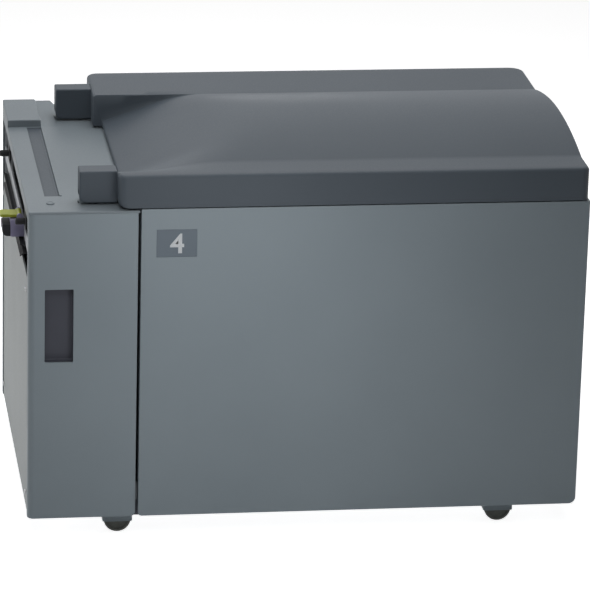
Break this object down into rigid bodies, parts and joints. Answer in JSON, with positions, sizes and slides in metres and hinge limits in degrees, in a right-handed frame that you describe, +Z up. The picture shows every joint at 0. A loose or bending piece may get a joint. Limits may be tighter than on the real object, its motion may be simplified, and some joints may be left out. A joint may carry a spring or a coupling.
{
  "type": "printer paper feed unit",
  "caption": "Floor-standing paper feed unit of a production printer: hinged top lid over a deep bin, feed section with front door, docking side and casters.",
  "frame": {"origin": "centre of the footprint, on the floor", "axes": "+X to the viewer's right along the body, +Y to the back, +Z up"},
  "size_m": [1.014, 0.64, 0.697],
  "materials": {
    "panel_grey": "fine moulded texture",
    "lid_grey": "fine moulded texture",
    "cover_grey": "fine moulded texture",
    "dark_plastic": "fine moulded texture",
    "black_plastic": "satin moulded",
    "badge_grey": "satin printed plate",
    "lever_green": "satin moulded",
    "catch_violet": "satin moulded",
    "light_plastic": "satin moulded",
    "painted_cover": "powder coated sheet",
    "side_plate": "powder coated sheet",
    "galvanised": "galvanised sheet",
    "steel": "turned",
    "rubber": "matte",
    "wheel_rubber": "matte",
    "board_green": "solder resist",
    "aluminium": "extruded"
  },
  "bodies": {
    "chassis": {"base_pan": "galvanised", "bin_front_wall": "galvanised", "bin_rear_wall": "galvanised", "cross_walls": "galvanised", "docking_frame": "galvanised", "top_frame": "galvanised", "bin_rim": "dark_plastic", "front_panel": "panel_grey", "badge_plate": "badge_grey", "right_cover": "painted_cover", "rear_cover": "painted_cover", "cover_screws": "steel", "left_side_plate": "side_plate", "left_top_cover": "cover_grey", "hinge_brackets": "steel", "door_brackets": "steel", "feed_frame": "galvanised", "exit_guide": "black_plastic", "docking_catch": "catch_violet", "docking_hook": "black_plastic", "docking_pins": "steel", "lift_rails": "light_plastic", "lift_motor": "aluminium", "guide_rails": "steel", "feed_motor": "aluminium", "fan_housing": "black_plastic", "control_board": "board_green", "air_heater": "aluminium", "caster_plates": "steel"},
    "lid": {"lid_shell": "lid_grey", "lid_liner": "dark_plastic", "lid_bumpers": "rubber", "hinge_arms": "lid_grey"},
    "door": {"left_door": "panel_grey", "door_pull": "dark_plastic", "door_inner": "galvanised"},
    "release_lever": {"release_lever": "lever_green"},
    "tray_button": {"tray_button": "light_plastic"},
    "lift_tray": {"lift_tray": "galvanised", "tray_pad": "rubber"},
    "lift_shaft": {"lift_shaft": "steel"},
    "front_side_guide": {"front_side_guide": "light_plastic"},
    "rear_side_guide": {"rear_side_guide": "light_plastic"},
    "end_guide": {"end_guide": "light_plastic"},
    "pickup_arm": {"pickup_arm": "black_plastic"},
    "pickup_roller": {"pickup_roller": "rubber"},
    "feed_roller": {"feed_roller": "rubber"},
    "separation_roller": {"separation_roller": "rubber"},
    "transport_roller": {"transport_roller": "rubber", "turn_knob": "lever_green"},
    "pinch_roller": {"pinch_roller": "black_plastic"},
    "fan_impeller": {"fan_impeller": "black_plastic"},
    "fork_front_left": {"fork_front_left": "galvanised"},
    "wheel_front_left": {"wheel_front_left": "wheel_rubber"},
    "fork_front_right": {"fork_front_right": "galvanised"},
    "wheel_front_right": {"wheel_front_right": "wheel_rubber"},
    "fork_rear_left": {"fork_rear_left": "galvanised"},
    "wheel_rear_left": {"wheel_rear_left": "wheel_rubber"},
    "fork_rear_right": {"fork_rear_right": "galvanised"},
    "wheel_rear_right": {"wheel_rear_right": "wheel_rubber"}
  },
  "joints": [
    {"name": "lid_hinge", "type": "hinge", "parent": "chassis", "child": "lid", "pos_m": [-0.373, 0, 0.625], "axis": [0, -1, 0], "range_deg": [0, 70]},
    {"name": "door_hinge", "type": "hinge", "parent": "chassis", "child": "door", "pos_m": [-0.2885, -0.312, 0.3], "axis": [0, 0, 1], "range_deg": [0, 90]},
    {"name": "lever_hinge", "type": "hinge", "parent": "chassis", "child": "release_lever", "pos_m": [-0.473, -0.15, 0.5543], "axis": [0, 1, 0], "range_deg": [0, 30]},
    {"name": "button_slide", "type": "slide", "parent": "chassis", "child": "tray_button", "axis": [0, 0, -1], "range_m": [0, 0.0015], "stiffness_N_per_m": 300, "springref_m": -0.002},
    {"name": "tray_lift", "type": "slide", "parent": "chassis", "child": "lift_tray", "axis": [0, 0, 1], "range_m": [0, 0.374]},
    {"name": "lift_shaft_spin", "type": "hinge", "parent": "chassis", "child": "lift_shaft", "pos_m": [0.306, 0, 0.096], "axis": [0, 1, 0], "continuous": true},
    {"name": "front_guide_slide", "type": "slide", "parent": "chassis", "child": "front_side_guide", "axis": [0, 1, 0], "range_m": [0, 0.095]},
    {"name": "rear_guide_slide", "type": "slide", "parent": "chassis", "child": "rear_side_guide", "axis": [0, -1, 0], "range_m": [0, 0.095]},
    {"name": "end_guide_slide", "type": "slide", "parent": "chassis", "child": "end_guide", "axis": [-1, 0, 0], "range_m": [0, 0.235]},
    {"name": "pickup_arm_hinge", "type": "hinge", "parent": "chassis", "child": "pickup_arm", "pos_m": [-0.304, 0, 0.52115], "axis": [0, -1, 0], "range_deg": [0, 12]},
    {"name": "pickup_spin", "type": "hinge", "parent": "pickup_arm", "child": "pickup_roller", "pos_m": [-0.237, 0, 0.521], "axis": [0, 1, 0], "continuous": true},
    {"name": "feed_spin", "type": "hinge", "parent": "chassis", "child": "feed_roller", "pos_m": [-0.304, 0, 0.52115], "axis": [0, 1, 0], "continuous": true},
    {"name": "separation_spin", "type": "hinge", "parent": "chassis", "child": "separation_roller", "pos_m": [-0.304, 0, 0.49085], "axis": [0, 1, 0], "continuous": true},
    {"name": "transport_spin", "type": "hinge", "parent": "chassis", "child": "transport_roller", "pos_m": [-0.409, 0, 0.49385], "axis": [0, 1, 0], "continuous": true},
    {"name": "pinch_spin", "type": "hinge", "parent": "chassis", "child": "pinch_roller", "pos_m": [-0.409, 0, 0.51815], "axis": [0, 1, 0], "continuous": true},
    {"name": "fan_spin", "type": "hinge", "parent": "chassis", "child": "fan_impeller", "pos_m": [0.371, 0.3045, 0.514], "axis": [0, 1, 0], "continuous": true},
    {"name": "swivel_front_left", "type": "hinge", "parent": "chassis", "child": "fork_front_left", "pos_m": [-0.323, -0.266, 0.068], "axis": [0, 0, 1], "continuous": true},
    {"name": "roll_front_left", "type": "hinge", "parent": "fork_front_left", "child": "wheel_front_left", "pos_m": [-0.307, -0.266, 0.024], "axis": [0, 1, 0], "continuous": true},
    {"name": "swivel_front_right", "type": "hinge", "parent": "chassis", "child": "fork_front_right", "pos_m": [0.36, -0.266, 0.068], "axis": [0, 0, 1], "continuous": true},
    {"name": "roll_front_right", "type": "hinge", "parent": "fork_front_right", "child": "wheel_front_right", "pos_m": [0.376, -0.266, 0.024], "axis": [0, 1, 0], "continuous": true},
    {"name": "swivel_rear_left", "type": "hinge", "parent": "chassis", "child": "fork_rear_left", "pos_m": [-0.323, 0.266, 0.068], "axis": [0, 0, 1], "continuous": true},
    {"name": "roll_rear_left", "type": "hinge", "parent": "fork_rear_left", "child": "wheel_rear_left", "pos_m": [-0.307, 0.266, 0.024], "axis": [0, 1, 0], "continuous": true},
    {"name": "swivel_rear_right", "type": "hinge", "parent": "chassis", "child": "fork_rear_right", "pos_m": [0.36, 0.266, 0.068], "axis": [0, 0, 1], "continuous": true},
    {"name": "roll_rear_right", "type": "hinge", "parent": "fork_rear_right", "child": "wheel_rear_right", "pos_m": [0.376, 0.266, 0.024], "axis": [0, 1, 0], "continuous": true}
  ],
  "couplings": [
    {"joint": "lift_shaft_spin", "follows": "tray_lift", "rad_per_m": 58.824},
    {"joint": "rear_guide_slide", "follows": "front_guide_slide", "ratio": 1},
    {"joint": "pickup_spin", "follows": "feed_spin", "ratio": 1.1538},
    {"joint": "separation_spin", "follows": "feed_spin", "ratio": -1},
    {"joint": "transport_spin", "follows": "feed_spin", "ratio": -1.25},
    {"joint": "pinch_spin", "follows": "feed_spin", "ratio": 1.25}
  ]
}
